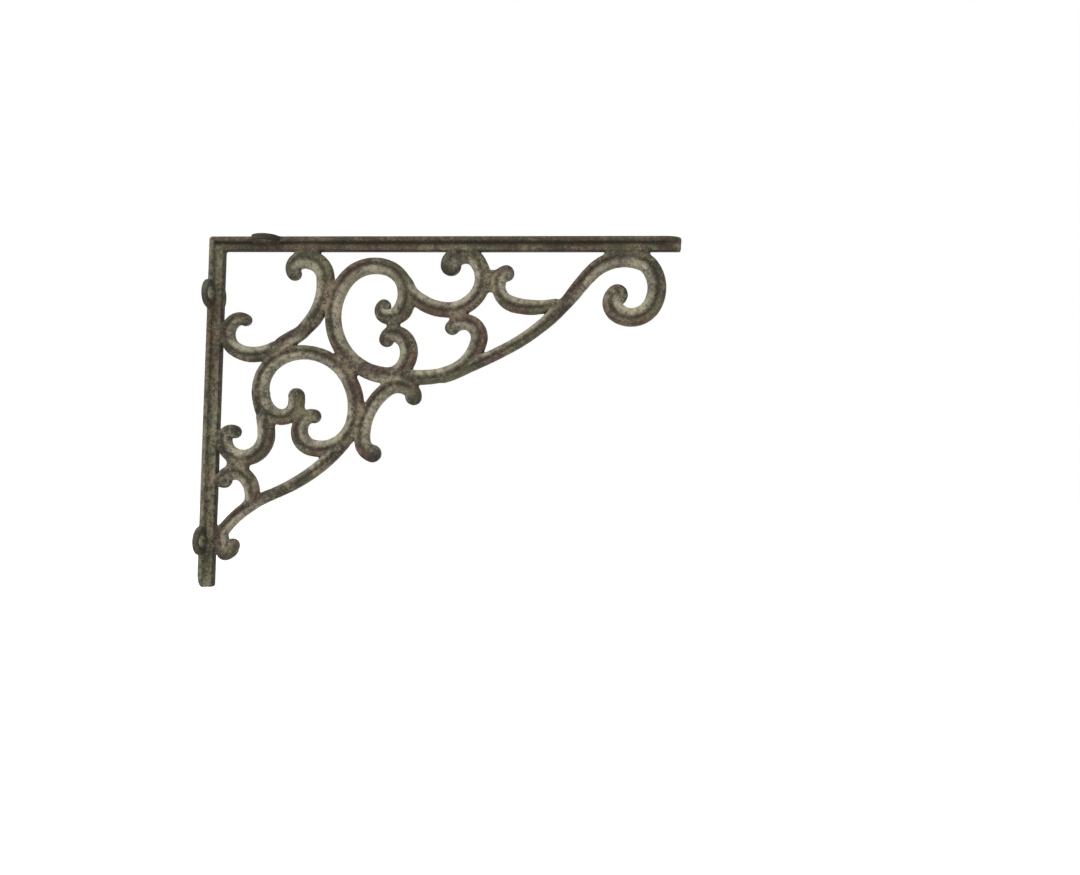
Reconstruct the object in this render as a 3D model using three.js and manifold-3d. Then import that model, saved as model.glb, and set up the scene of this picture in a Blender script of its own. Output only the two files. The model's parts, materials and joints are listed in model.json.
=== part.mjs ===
// Cast iron shelf bracket: an L of two ribbed flanges, filled with scrollwork, all one casting.
// Millimetres. +X runs out from the wall, +Z up, Y along the shelf's edge.
// The origin is on the wall face, on the middle line, level with the upper pair of screws.
import * as THREE from 'three';
import { mergeVertices } from 'three/addons/utils/BufferGeometryUtils.js';
import Module from 'manifold-3d';

// Overall sizes
const REACH = 292.8; // wall face to the tip of the shelf flange
const DROP = 218.8; // shelf face to the foot of the wall flange

// Flanges: a flat strap with a rib along the middle of its inner face
const FLANGE_WIDTH = 12;
const FLANGE_THICKNESS = 3;
const FLANGE_TIP = 9; // length of the half oval that ends a strap
const RIB_HEIGHT = 5.5; // above the strap
const RIB_THICKNESS = 6; // through the bracket
const RIB_STOP = 0.2; // from the rib's end to the tip of the strap
const RIB_END_ROUND = 1.2;
const INNER_FILLET = 2;
const OUTER_ROUND = 1.5;

// Round screw ears, in pairs on the two edges of a flange
const EAR_RADIUS = 9; // centred on the strap's edge
const EAR_THICKNESS = 4;
const SCREW_HOLE = 5;
const SCREW_HEAD = 9;
const HEAD_EDGE = 0.4; // short straight edge above the countersink's cone
const HEAD_CLEARANCE = 0.7; // between a screw's head and the rib
const UPPER_SCREW_DROP = 36; // below the shelf face
const LOWER_SCREW_RISE = 29; // above the foot of the wall flange
const SHELF_SCREW_REACH = 37; // out from the wall face

// Scrollwork
const STRAND_THICKNESS = 8.5; // through the bracket, at the two rounded bands
const GROOVE_THICKNESS = 6.2; // through the bracket, at the groove between the bands
const EDGE_THICKNESS = 3.4; // through the bracket, at a strand's two sides
const BAND_PLACE = 0.58; // of half a strand's width, from its middle to the crest of a band
const WEB_THICKNESS = 5.8; // metal that fills the gap where two strands meet
const SCROLL_OVERLAP = 2.2; // how far the opening that the scrolls are drawn in runs into the ribs
const DRAWN_REACH = 286.5; // that opening, from its corner to the tips of the flanges
const DRAWN_DROP = 212.5;

// Each strand starts `out` and `down` from the corner of that opening, at a heading in degrees
// anticlockwise from +X, and follows a chain of tangent arcs, each [radius, sweep], a right turn negative.
// Its widths are spread evenly along it, and its ends are round.
const STRANDS = {
  corner: {
    out: 47.5,
    down: 16,
    heading: 120,
    arcs: [[5.5, -96], [12.5, -109], [39.5, -65], [110, 5], [31.5, -32], [21.5, -36], [11, -101], [7, -72]],
    widths: [8.9, 12.1, 10.9, 9.7, 9.3, 9.5, 9.7, 9.1, 7.9],
  },
  spiral: {
    out: 105.5,
    down: 36,
    heading: -144,
    arcs: [
      [3.5, 133], [12.5, 23], [8, 52], [18.5, 96], [23.5, 76], [37, 125], [52, -8], [75, 19], [31.5, 25],
      [26, 42], [9.5, 153],
    ],
    widths: [8.3, 11.8, 9.8, 10.1, 10.1, 9.7, 10.1, 10.1, 10.3, 9.3, 8.9, 9.7, 10.5, 8.9],
  },
  inner_hook: {
    out: 107.5,
    down: 57,
    heading: 81,
    arcs: [[4.5, -46], [4, -29], [8.5, -41], [11, -40], [14.5, -83]],
    widths: [8.9, 10.7, 11.1, 10.3, 9.3],
  },
  cup: {
    out: 119.5,
    down: 22.5,
    heading: -70,
    arcs: [[19, 29], [32, 40], [21.5, 58], [17.5, 72], [10, 92], [5, 54]],
    widths: [8, 9.9, 9.5, 9.8, 9.8, 10.3, 12.7],
  },
  j_hook: {
    out: 181,
    down: 15.5,
    heading: -169,
    arcs: [[5.5, 66], [12.5, 87], [46, 24], [50, 8]],
    widths: [9.9, 8.3, 9.7, 9.1, 6.8],
  },
  rail: {
    out: 248.8,
    down: 28.4,
    heading: -147,
    arcs: [
      [6, 79], [8.5, 34], [14, 94], [21.3, 66], [10.5, 33], [28.3, 68], [142, 6], [125, -24], [250, -10],
    ],
    widths: [12.9, 11.1, 11.4, 11.3, 10.2, 9.2, 8.5, 7.5, 7.3, 7.5, 8.3],
  },
  ring: {
    out: 63,
    down: 105,
    heading: 170,
    arcs: [
      [7, 60], [10.5, 114], [21.5, 89], [34.5, 127], [23, 82], [190, 3], [56, -14], [14.5, -123], [10, -71],
      [4.5, -98],
    ],
    widths: [8.7, 10.6, 10.1, 10, 9.9, 8.9, 8.8, 9.7, 10.3, 10.6, 10.3, 9.9, 8.3],
  },
  finger: {
    out: 51.5,
    down: 92.5,
    heading: -82,
    arcs: [[18, -21], [8.5, -51], [10.5, -53], [16, -59]],
    widths: [9.9, 9.9, 10.1, 9.8],
  },
  leaf: {
    out: 125.5,
    down: 92,
    heading: 88,
    arcs: [[5.5, 55], [12, 74], [37, 57], [8.5, 73]],
    widths: [10.1, 9.6, 8.8, 8.7, 9.3, 10.9],
  },
  lower_rail: {
    out: 81,
    down: 122.5,
    heading: -126,
    arcs: [[52, -9], [115, -23], [73, 30], [5, 45], [55, 12]],
    widths: [7.7, 7.9, 7.5, 7.3, 7.9, 7.5, 7.7],
  },
  foot_curl: {
    out: 8,
    down: 190.6,
    heading: -25,
    arcs: [[3.5, 100], [20, 6]],
    widths: [8, 8.4, 8.6],
  },
  small_hook: {
    out: 6.5,
    down: 146,
    heading: 85,
    arcs: [[5.5, -25], [4, -29], [10, -80], [15.5, -62]],
    widths: [9.7, 9.2, 9.3, 7.6],
  },
};

// Where two strands touch side by side: [first strand, second strand, out, down, length of the web]
const STRAND_WEBS = [
  ['corner', 'spiral', 71, 30, 20],
  ['corner', 'ring', 41, 66, 12],
  ['spiral', 'ring', 84, 73, 16],
  ['spiral', 'inner_hook', 112, 48, 7],
  ['cup', 'spiral', 152, 42, 10],
  ['cup', 'j_hook', 171, 20, 13],
  ['ring', 'finger', 53, 101, 7],
  ['leaf', 'spiral', 112, 82, 12],
  ['leaf', 'ring', 92, 106, 20],
  ['small_hook', 'ring', 15, 136, 13],
];

// Where a strand meets a flange: [strand, flange, distance along the flange, length of the web]
const FLANGE_WEBS = [
  ['corner', 'shelf', 56, 15],
  ['corner', 'wall', 53, 13],
  ['cup', 'shelf', 154, 15],
  ['rail', 'shelf', 254.5, 27],
  ['ring', 'wall', 121, 12],
  ['small_hook', 'wall', 146, 6],
  ['lower_rail', 'wall', 184, 17],
];

// Facets
const MAX_TURN = 22; // degrees of bend between two sections of a strand
const MAX_STEP = 10; // length between them
const CAP_ANGLES = [63, 36]; // degrees, of the rings on a strand's round end
const EAR_SIDES = 24;
const HOLE_SIDES = 14;
const ARC_SIDES = 6;
const PAST = 1; // how far a cutter runs past the face that it cuts
const MERGE_GAP = 1e-4; // vertices closer than this are one

const wasm = await Module();
wasm.setup();

function solid(geometry) {
  const bare = geometry.clone();
  bare.deleteAttribute('normal');
  bare.deleteAttribute('uv');
  const merged = mergeVertices(bare, MERGE_GAP);
  return new wasm.Manifold(
    new wasm.Mesh({
      numProp: 3,
      vertProperties: new Float32Array(merged.attributes.position.array),
      triVerts: new Uint32Array(merged.index.array),
    }),
  );
}

// Outlines in X and Z extruded along Y, centred on the middle plane.
function extrudeAcross(shape, width) {
  const geometry = new THREE.ExtrudeGeometry(shape, {
    depth: width, bevelEnabled: false, curveSegments: ARC_SIDES,
  });
  geometry.rotateX(Math.PI / 2);
  geometry.translate(0, width / 2, 0);
  return solid(geometry);
}

// An L seen from the side, `outer` to `inner` inside the bracket's outer faces. It ends `stop` before the
// tips, where its inner corners have the radius `round`.
function sideOutline(outer, inner, stop, round) {
  const corner = inner + INNER_FILLET;
  const shape = new THREE.Shape();
  shape.moveTo(outer, stop - DROP);
  shape.lineTo(inner - round, stop - DROP);
  if (round > 0) shape.absarc(inner - round, stop + round - DROP, round, -Math.PI / 2, 0, false);
  shape.lineTo(inner, -corner);
  shape.absarc(corner, -corner, INNER_FILLET, Math.PI, Math.PI / 2, true);
  shape.lineTo(REACH - stop - round, -inner);
  if (round > 0) shape.absarc(REACH - stop - round, round - inner, round, -Math.PI / 2, 0, false);
  shape.lineTo(REACH - stop, -outer);
  shape.lineTo(outer + OUTER_ROUND, -outer);
  shape.absarc(outer + OUTER_ROUND, -outer - OUTER_ROUND, OUTER_ROUND, Math.PI / 2, Math.PI, false);
  return shape;
}

// One strap seen square on. It ends in half an oval.
function flangeOutline(length) {
  const half = FLANGE_WIDTH / 2;
  const shape = new THREE.Shape();
  shape.moveTo(-PAST, -half);
  shape.lineTo(length - FLANGE_TIP, -half);
  shape.absellipse(length - FLANGE_TIP, 0, FLANGE_TIP, half, -Math.PI / 2, Math.PI / 2, false);
  shape.lineTo(-PAST, half);
  return shape;
}

function straps() {
  const side = extrudeAcross(sideOutline(0, FLANGE_THICKNESS, 0, 0), FLANGE_WIDTH);
  const wall = new THREE.ExtrudeGeometry(flangeOutline(DROP), {
    depth: REACH + 2 * PAST, bevelEnabled: false, curveSegments: ARC_SIDES,
  });
  wall.rotateY(Math.PI / 2);
  wall.translate(-PAST, 0, 0);
  const shelf = new THREE.ExtrudeGeometry(flangeOutline(REACH), {
    depth: DROP + 2 * PAST, bevelEnabled: false, curveSegments: ARC_SIDES,
  });
  shelf.translate(0, 0, -DROP - PAST);
  return side.intersect(solid(wall)).intersect(solid(shelf));
}

// The ribs start inside the straps.
function ribs() {
  const outline = sideOutline(FLANGE_THICKNESS / 2, FLANGE_THICKNESS + RIB_HEIGHT, RIB_STOP, RIB_END_ROUND);
  return extrudeAcross(outline, RIB_THICKNESS);
}

// Turns a solid built on the Y axis, from the flange's outer face inwards, to stand `along` the flange and
// `across` from the middle plane.
function atScrew(geometry, flange, along, across) {
  const placed = geometry.clone();
  if (flange === 'wall') {
    placed.rotateZ(-Math.PI / 2);
    placed.translate(0, across, -along);
  } else {
    placed.rotateX(-Math.PI / 2);
    placed.translate(along, across, 0);
  }
  return solid(placed);
}

function earBlank() {
  const ear = new THREE.CylinderGeometry(EAR_RADIUS, EAR_RADIUS, EAR_THICKNESS, EAR_SIDES);
  ear.translate(0, EAR_THICKNESS / 2, 0);
  return ear;
}

function screwCutter() {
  const hole = SCREW_HOLE / 2;
  const head = SCREW_HEAD / 2;
  const rim = EAR_THICKNESS - HEAD_EDGE;
  const profile = [
    [0, -PAST], [hole, -PAST], [hole, rim - (head - hole)], [head, rim], [head, EAR_THICKNESS + PAST],
    [0, EAR_THICKNESS + PAST],
  ];
  return new THREE.LatheGeometry(profile.map(([r, h]) => new THREE.Vector2(r, h)), HOLE_SIDES);
}

const SCREWS = [
  ['wall', UPPER_SCREW_DROP],
  ['wall', DROP - LOWER_SCREW_RISE],
  ['shelf', SHELF_SCREW_REACH],
];

function atEveryScrew(geometry, across) {
  return SCREWS.flatMap(([flange, along]) => [-across, across].map((y) => atScrew(geometry, flange, along, y)));
}

// The centre line of a strand as a path of arcs, in the opening that it is drawn in.
function centreLine({ out, down, heading, arcs }) {
  const path = new THREE.CurvePath();
  const end = new THREE.Vector2(out, -down);
  let direction = THREE.MathUtils.degToRad(heading);
  for (const [radius, sweep] of arcs) {
    const side = Math.sign(sweep);
    const from = direction - side * Math.PI / 2;
    const centre = end.clone().sub(new THREE.Vector2(radius * Math.cos(from), radius * Math.sin(from)));
    const to = from + THREE.MathUtils.degToRad(sweep);
    path.add(new THREE.EllipseCurve(centre.x, centre.y, radius, radius, from, to, side < 0, 0));
    direction += THREE.MathUtils.degToRad(sweep);
    end.set(centre.x + radius * Math.cos(to), centre.y + radius * Math.sin(to));
  }
  return path;
}

// The opening that the scrolls are drawn in, at its real size.
const INSET = FLANGE_THICKNESS + RIB_HEIGHT - SCROLL_OVERLAP;
const STRETCH_X = (REACH - INSET) / DRAWN_REACH;
const STRETCH_Z = (DROP - INSET) / DRAWN_DROP;

// Stations along a strand, at its real size: place, direction, bend, and share of the length gone.
function stations(strand) {
  const path = centreLine(strand);
  const total = path.getLength();
  const list = [];
  let gone = 0;
  path.curves.forEach((arc, i) => {
    const [radius, sweep] = strand.arcs[i];
    const length = radius * Math.abs(THREE.MathUtils.degToRad(sweep));
    const steps = Math.ceil(Math.max(Math.abs(sweep) / MAX_TURN, length / MAX_STEP));
    for (let k = i === 0 ? 0 : 1; k <= steps; k += 1) {
      const place = arc.getPoint(k / steps);
      const facing = arc.getTangent(k / steps);
      list.push({
        x: INSET + place.x * STRETCH_X,
        z: -INSET + place.y * STRETCH_Z,
        direction: Math.atan2(facing.y * STRETCH_Z, facing.x * STRETCH_X),
        radius,
        turn: Math.sign(sweep),
        share: Math.min(1, (gone + (length * k) / steps) / total),
      });
    }
    gone += length;
  });
  return list;
}

function widthAt(widths, share) {
  const at = share * (widths.length - 1);
  const i = Math.min(widths.length - 2, Math.floor(at));
  return THREE.MathUtils.lerp(widths[i], widths[i + 1], at - i);
}

// Half of a strand's section as [share of the half width, half thickness], then mirrored to the other face:
// two rounded bands with a groove between them.
function sectionPoints() {
  const band = STRAND_THICKNESS / 2;
  const groove = GROOVE_THICKNESS / 2;
  const edge = EDGE_THICKNESS / 2;
  const front = [[1, edge], [BAND_PLACE, band], [0, groove], [-BAND_PLACE, band], [-1, edge]];
  return [...front, ...front.map(([a, b]) => [a, -b]).reverse()];
}

const SECTION = sectionPoints();
const BEND_LIMIT = 0.9; // the inner side of a tight bend stops short of the bend's centre

// A ring of the section at a station, pushed along the strand and shrunk for a rounded end.
function ring(station, width, push, shrink) {
  const sin = Math.sin(station.direction);
  const cos = Math.cos(station.direction);
  return SECTION.map(([share, depth]) => {
    let aside = share * (width / 2) * shrink;
    if (Math.sign(aside) === station.turn) {
      aside = station.turn * Math.min(Math.abs(aside), station.radius * BEND_LIMIT);
    }
    return [
      station.x + push * cos - aside * sin,
      depth * Math.sqrt(shrink),
      station.z + push * sin + aside * cos,
    ];
  });
}

function strandSolid(strand) {
  const line = stations(strand);
  const first = line[0];
  const last = line[line.length - 1];
  const startWidth = strand.widths[0];
  const endWidth = strand.widths[strand.widths.length - 1];
  const angles = CAP_ANGLES.map(THREE.MathUtils.degToRad);
  const cap = (s, width, way) =>
    angles.map((a) => ring(s, width, way * (width / 2) * Math.sin(a), Math.cos(a)));
  const rings = [
    ...cap(first, startWidth, -1),
    ...line.map((s) => ring(s, widthAt(strand.widths, s.share), 0, 1)),
    ...cap(last, endWidth, 1).reverse(),
  ];
  const pole = (s, push) => [s.x + push * Math.cos(s.direction), 0, s.z + push * Math.sin(s.direction)];
  const sides = SECTION.length;
  const points = [pole(first, -startWidth / 2), ...rings.flat(), pole(last, endWidth / 2)];
  const end = points.length - 1;
  const faces = [];
  for (let k = 0; k < sides; k += 1) {
    const next = (k + 1) % sides;
    faces.push([0, 1 + k, 1 + next]);
    for (let r = 0; r < rings.length - 1; r += 1) {
      const a = 1 + r * sides;
      const b = a + sides;
      faces.push([a + k, b + next, a + next], [a + k, b + k, b + next]);
    }
    const lastRing = end - sides;
    faces.push([lastRing + k, end, lastRing + next]);
  }
  const geometry = new THREE.BufferGeometry();
  geometry.setAttribute('position', new THREE.Float32BufferAttribute(points.flat(), 3));
  geometry.setIndex(faces.flat());
  return solid(geometry);
}

function nearest(line, x, z) {
  const gap = (s) => Math.hypot(s.x - x, s.z - z);
  return line.reduce((best, s) => (gap(s) < gap(best) ? s : best));
}

// A flat web from one point to another, wide enough to fill the touch between two strands.
function web(from, to, length) {
  const span = Math.hypot(to.x - from.x, to.z - from.z);
  const block = new THREE.BoxGeometry(length, WEB_THICKNESS, span);
  block.rotateY(Math.atan2(to.x - from.x, to.z - from.z));
  block.translate((from.x + to.x) / 2, 0, (from.z + to.z) / 2);
  return solid(block);
}

function drawnPoint(out, down) {
  return { x: INSET + out * STRETCH_X, z: -INSET - down * STRETCH_Z };
}

function webs(lines) {
  const between = STRAND_WEBS.map(([a, b, out, down, length]) => {
    const { x, z } = drawnPoint(out, down);
    return web(nearest(lines[a], x, z), nearest(lines[b], x, z), length);
  });
  const onFlanges = FLANGE_WEBS.map(([name, flange, along, length]) => {
    const wall = flange === 'wall';
    const hint = wall ? drawnPoint(0, along) : drawnPoint(along, 0);
    const strand = nearest(lines[name], hint.x, hint.z);
    const foot = wall ? { x: FLANGE_THICKNESS / 2, z: strand.z } : { x: strand.x, z: -FLANGE_THICKNESS / 2 };
    return web(foot, strand, length);
  });
  return [...between, ...onFlanges];
}

function casting() {
  const lines = Object.fromEntries(Object.entries(STRANDS).map(([name, s]) => [name, stations(s)]));
  const pieces = [
    ...atEveryScrew(earBlank(), FLANGE_WIDTH / 2),
    ...Object.values(STRANDS).map(strandSolid),
    ...webs(lines),
  ];
  const joined = pieces.reduce((body, piece) => body.add(piece), straps().add(ribs()));
  const screwLine = RIB_THICKNESS / 2 + HEAD_CLEARANCE + SCREW_HEAD / 2;
  return atEveryScrew(screwCutter(), screwLine).reduce((body, hole) => body.subtract(hole), joined);
}

function geometryOf(body) {
  const mesh = body.getMesh();
  const geometry = new THREE.BufferGeometry();
  geometry.setAttribute('position', new THREE.BufferAttribute(mesh.vertProperties, 3));
  geometry.setIndex(new THREE.BufferAttribute(mesh.triVerts, 1));
  geometry.computeVertexNormals();
  return geometry;
}

// Weathered iron: matt, grey-olive with rust in the hollows.
const weatheredIron = new THREE.MeshStandardMaterial({ color: 0x6a634f, roughness: 0.8, metalness: 0.4 });

const bracket = new THREE.Mesh(geometryOf(casting()), weatheredIron);
bracket.name = 'bracket_casting';
bracket.position.z = UPPER_SCREW_DROP;

const group = new THREE.Group();
group.add(bracket);

export default group;
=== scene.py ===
"""Dresses a cast iron scroll shelf bracket: one rounded casting with its patina, on a pale stage."""

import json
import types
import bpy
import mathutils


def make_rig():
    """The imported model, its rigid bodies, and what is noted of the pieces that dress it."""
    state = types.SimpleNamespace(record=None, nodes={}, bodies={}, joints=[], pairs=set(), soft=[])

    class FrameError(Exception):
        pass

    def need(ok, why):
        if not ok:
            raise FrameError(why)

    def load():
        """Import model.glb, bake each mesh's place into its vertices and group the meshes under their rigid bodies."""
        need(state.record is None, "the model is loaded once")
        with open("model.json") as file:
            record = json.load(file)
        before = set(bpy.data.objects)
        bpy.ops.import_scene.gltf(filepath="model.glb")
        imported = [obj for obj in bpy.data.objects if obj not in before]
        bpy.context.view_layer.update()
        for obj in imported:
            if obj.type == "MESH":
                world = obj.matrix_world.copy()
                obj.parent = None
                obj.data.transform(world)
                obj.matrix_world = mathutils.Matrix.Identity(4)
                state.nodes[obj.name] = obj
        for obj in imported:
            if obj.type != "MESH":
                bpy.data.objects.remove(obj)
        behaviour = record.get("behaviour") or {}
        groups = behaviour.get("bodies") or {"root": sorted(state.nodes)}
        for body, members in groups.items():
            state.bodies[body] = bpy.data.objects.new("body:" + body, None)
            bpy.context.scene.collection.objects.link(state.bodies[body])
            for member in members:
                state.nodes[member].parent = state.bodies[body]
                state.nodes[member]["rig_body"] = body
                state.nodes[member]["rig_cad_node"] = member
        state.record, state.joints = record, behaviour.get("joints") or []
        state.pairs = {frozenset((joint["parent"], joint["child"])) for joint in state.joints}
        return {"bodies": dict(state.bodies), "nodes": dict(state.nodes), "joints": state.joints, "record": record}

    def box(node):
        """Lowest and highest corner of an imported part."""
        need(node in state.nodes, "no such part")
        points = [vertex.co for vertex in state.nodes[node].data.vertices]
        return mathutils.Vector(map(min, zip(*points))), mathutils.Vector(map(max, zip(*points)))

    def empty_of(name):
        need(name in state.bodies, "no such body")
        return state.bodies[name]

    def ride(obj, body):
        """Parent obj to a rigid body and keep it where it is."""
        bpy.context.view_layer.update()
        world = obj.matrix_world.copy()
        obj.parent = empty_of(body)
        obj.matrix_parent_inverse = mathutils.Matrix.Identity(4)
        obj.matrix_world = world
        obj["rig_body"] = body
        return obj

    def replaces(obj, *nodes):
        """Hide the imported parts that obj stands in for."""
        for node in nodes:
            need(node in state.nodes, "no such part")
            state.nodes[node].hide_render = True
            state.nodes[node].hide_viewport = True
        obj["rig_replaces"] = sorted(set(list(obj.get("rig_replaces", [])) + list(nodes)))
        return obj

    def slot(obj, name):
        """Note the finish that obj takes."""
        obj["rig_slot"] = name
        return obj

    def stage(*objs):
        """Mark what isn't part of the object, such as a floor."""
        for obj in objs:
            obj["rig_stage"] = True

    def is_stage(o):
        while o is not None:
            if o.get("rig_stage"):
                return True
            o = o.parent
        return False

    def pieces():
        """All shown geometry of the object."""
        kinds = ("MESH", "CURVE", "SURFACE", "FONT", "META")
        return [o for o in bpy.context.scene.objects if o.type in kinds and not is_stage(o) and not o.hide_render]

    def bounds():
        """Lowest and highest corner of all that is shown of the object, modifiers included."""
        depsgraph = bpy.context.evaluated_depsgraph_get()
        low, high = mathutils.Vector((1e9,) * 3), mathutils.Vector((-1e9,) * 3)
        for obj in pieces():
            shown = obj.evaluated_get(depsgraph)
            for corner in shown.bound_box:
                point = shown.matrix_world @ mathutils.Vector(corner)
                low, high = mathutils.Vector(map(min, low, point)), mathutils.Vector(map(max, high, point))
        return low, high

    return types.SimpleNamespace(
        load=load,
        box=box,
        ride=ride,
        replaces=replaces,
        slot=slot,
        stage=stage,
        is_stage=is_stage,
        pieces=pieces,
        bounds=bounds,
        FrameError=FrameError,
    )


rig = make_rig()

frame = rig.load()

import json
import math

import bpy
import numpy as np
from mathutils import Matrix, Vector

bl_info = {
    "name": "Scroll Shelf Bracket",
    "version": (1, 0, 0),
    "blender": (4, 5, 0),
    "location": "View3D > Sidebar > Bracket",
    "description": "Builds the rounded casting of a scroll shelf bracket, its patina and its stage",
    "category": "Object",
}

MM = 0.001
NODE = "bracket_casting"
CAD_LOW, CAD_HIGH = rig.bounds()
LOW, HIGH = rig.box(NODE)
REACH = (HIGH.x - LOW.x) / MM
DROP = (HIGH.z - LOW.z) / MM
SHELF_Z = HIGH.z / MM  # the shelf face, above the origin

# The casting's own sizes, in millimetres
FLANGE_WIDTH = 12.0
FLANGE_THICKNESS = 3.0
FLANGE_TIP = 9.0
RIB_HEIGHT = 5.5
RIB_THICKNESS = 6.0
RIB_STOP = 0.2
RIB_END_ROUND = 1.2
OUTER_ROUND = 1.5
EAR_RADIUS = 9.0
EAR_THICKNESS = 4.0
SCREW_HOLE = 5.0
SCREW_HEAD = 9.0
HEAD_EDGE = 0.4
HEAD_CLEARANCE = 0.7
UPPER_SCREW_DROP = SHELF_Z
LOWER_SCREW_RISE = 29.0
SHELF_SCREW_REACH = 37.0
WEB_THICKNESS = 5.8
SCROLL_OVERLAP = 2.2  # of the scrolls with the ribs
DRAWN_REACH = 286.5
DRAWN_DROP = 212.5

# How far each edge is rounded, and the fillets where parts run together, in millimetres
STRAND_EDGE = 0.9
WEB_EDGE = 1.0
STRAP_FACE_EDGE = 0.4
STRAP_SIDE_EDGE = 0.9
RIB_EDGE = 1.3
RIB_FILLET = 1.4
EAR_EDGE = 1.0
EAR_FILLET = 1.2
FLANGE_FILLET = 1.0
HOLE_EDGE = 0.4

# The rounded face of a strand, and the fading of its groove at the ends
CROWN_POWER = 2.6
CROWN_ROOT = 0.6
CROWN_STEP = 0.02  # of the half width, over which the face's slope is measured
GROOVE_STOP = 1.0
GROOVE_FADE = 6.0

# Each strand starts `out` and `down` from the corner of the opening that the scrolls are drawn in, at a
# heading in degrees anticlockwise from +X, and follows a chain of tangent arcs, each (radius, sweep), a right
# turn negative. Its widths are spread evenly along it, and its ends are round.
STRANDS = {
    "corner": (
        (47.5, 16, 120),
        [(5.5, -96), (12.5, -109), (39.5, -65), (110, 5), (31.5, -32), (21.5, -36), (11, -101), (7, -72)],
        [8.9, 12.1, 10.9, 9.7, 9.3, 9.5, 9.7, 9.1, 7.9],
    ),
    "spiral": (
        (105.5, 36, -144),
        [
            (3.5, 133), (12.5, 23), (8, 52), (18.5, 96), (23.5, 76), (37, 125),
            (52, -8), (75, 19), (31.5, 25), (26, 42), (9.5, 153),
        ],
        [8.3, 11.8, 9.8, 10.1, 10.1, 9.7, 10.1, 10.1, 10.3, 9.3, 8.9, 9.7, 10.5, 8.9],
    ),
    "inner_hook": (
        (107.5, 57, 81),
        [(4.5, -46), (4, -29), (8.5, -41), (11, -40), (14.5, -83)],
        [8.9, 10.7, 11.1, 10.3, 9.3],
    ),
    "cup": (
        (119.5, 22.5, -70),
        [(19, 29), (32, 40), (21.5, 58), (17.5, 72), (10, 92), (5, 54)],
        [8, 9.9, 9.5, 9.8, 9.8, 10.3, 12.7],
    ),
    "j_hook": (
        (181, 15.5, -169),
        [(5.5, 66), (12.5, 87), (46, 24), (50, 8)],
        [9.9, 8.3, 9.7, 9.1, 6.8],
    ),
    "rail": (
        (248.8, 28.4, -147),
        [(6, 79), (8.5, 34), (14, 94), (21.3, 66), (10.5, 33), (28.3, 68), (142, 6), (125, -24), (250, -10)],
        [12.9, 11.1, 11.4, 11.3, 10.2, 9.2, 8.5, 7.5, 7.3, 7.5, 8.3],
    ),
    "ring": (
        (63, 105, 170),
        [
            (7, 60), (10.5, 114), (21.5, 89), (34.5, 127), (23, 82),
            (190, 3), (56, -14), (14.5, -123), (10, -71), (4.5, -98),
        ],
        [8.7, 10.6, 10.1, 10, 9.9, 8.9, 8.8, 9.7, 10.3, 10.6, 10.3, 9.9, 8.3],
    ),
    "finger": (
        (51.5, 92.5, -82),
        [(18, -21), (8.5, -51), (10.5, -53), (16, -59)],
        [9.9, 9.9, 10.1, 9.8],
    ),
    "leaf": (
        (125.5, 92, 88),
        [(5.5, 55), (12, 74), (37, 57), (8.5, 73)],
        [10.1, 9.6, 8.8, 8.7, 9.3, 10.9],
    ),
    "lower_rail": (
        (81, 122.5, -126),
        [(52, -9), (115, -23), (73, 30), (5, 45), (55, 12)],
        [7.7, 7.9, 7.5, 7.3, 7.9, 7.5, 7.7],
    ),
    "foot_curl": (
        (8, 190.6, -25),
        [(3.5, 100), (20, 6)],
        [8, 8.4, 8.6],
    ),
    "small_hook": (
        (6.5, 146, 85),
        [(5.5, -25), (4, -29), (10, -80), (15.5, -62)],
        [9.7, 9.2, 9.3, 7.6],
    ),
}

# Where two strands touch side by side: first strand, second strand, out, down, length of the web
STRAND_WEBS = [
    ("corner", "spiral", 71, 30, 20),
    ("corner", "ring", 41, 66, 12),
    ("spiral", "ring", 84, 73, 16),
    ("spiral", "inner_hook", 112, 48, 7),
    ("cup", "spiral", 152, 42, 10),
    ("cup", "j_hook", 171, 20, 13),
    ("ring", "finger", 53, 101, 7),
    ("leaf", "spiral", 112, 82, 12),
    ("leaf", "ring", 92, 106, 20),
    ("small_hook", "ring", 15, 136, 13),
]

# Where a strand meets a flange: strand, flange, distance along the flange, length of the web
FLANGE_WEBS = [
    ("corner", "shelf", 56, 15),
    ("corner", "wall", 53, 13),
    ("cup", "shelf", 154, 15),
    ("rail", "shelf", 254.5, 27),
    ("ring", "wall", 121, 12),
    ("small_hook", "wall", 146, 6),
    ("lower_rail", "wall", 184, 17),
]

TIP_INSET = 0.03  # the dressed flanges end this much inside the solid's tips
EAR_INSET = 0.1  # and the dressed ears this much inside the solid's rims
RIB_TOP = FLANGE_THICKNESS + RIB_HEIGHT
SCREW_LINE = RIB_THICKNESS / 2 + HEAD_CLEARANCE + SCREW_HEAD / 2  # from the middle plane
INSET = RIB_TOP - SCROLL_OVERLAP
STRETCH = np.array([(REACH - INSET) / DRAWN_REACH, (DROP - INSET) / DRAWN_DROP])
OPENING = np.array([INSET, -INSET])

# The grid that the casting is worked out on, in millimetres
CELL = 0.6
CELL_ACROSS = 0.7
MARGIN = 1.8
STRAND_REACH = 10.0  # how far from a strand or a web its field is worked out
DEPTH_REACH = 3.0  # and how far past the strands' faces
FLANGE_REACH = 4.0  # how far past the ribs the flanges' field is worked out
GROOVE_PLACE = 0.14  # of the half width, towards the outside of the bend
FAR = 50.0
SKIN_LIMIT = 190000  # triangles

# The unevenness of the casting: share of its height, size in millimetres, seed
ROUGH_LAYERS = [(0.5, 7.0, 3), (0.35, 3.0, 5), (0.35, 1.4, 8)]
ROUGH_FADE = 0.6  # how near the sides of the solid's box it starts to fade, in millimetres
LATTICE = 64  # random numbers each way

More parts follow.
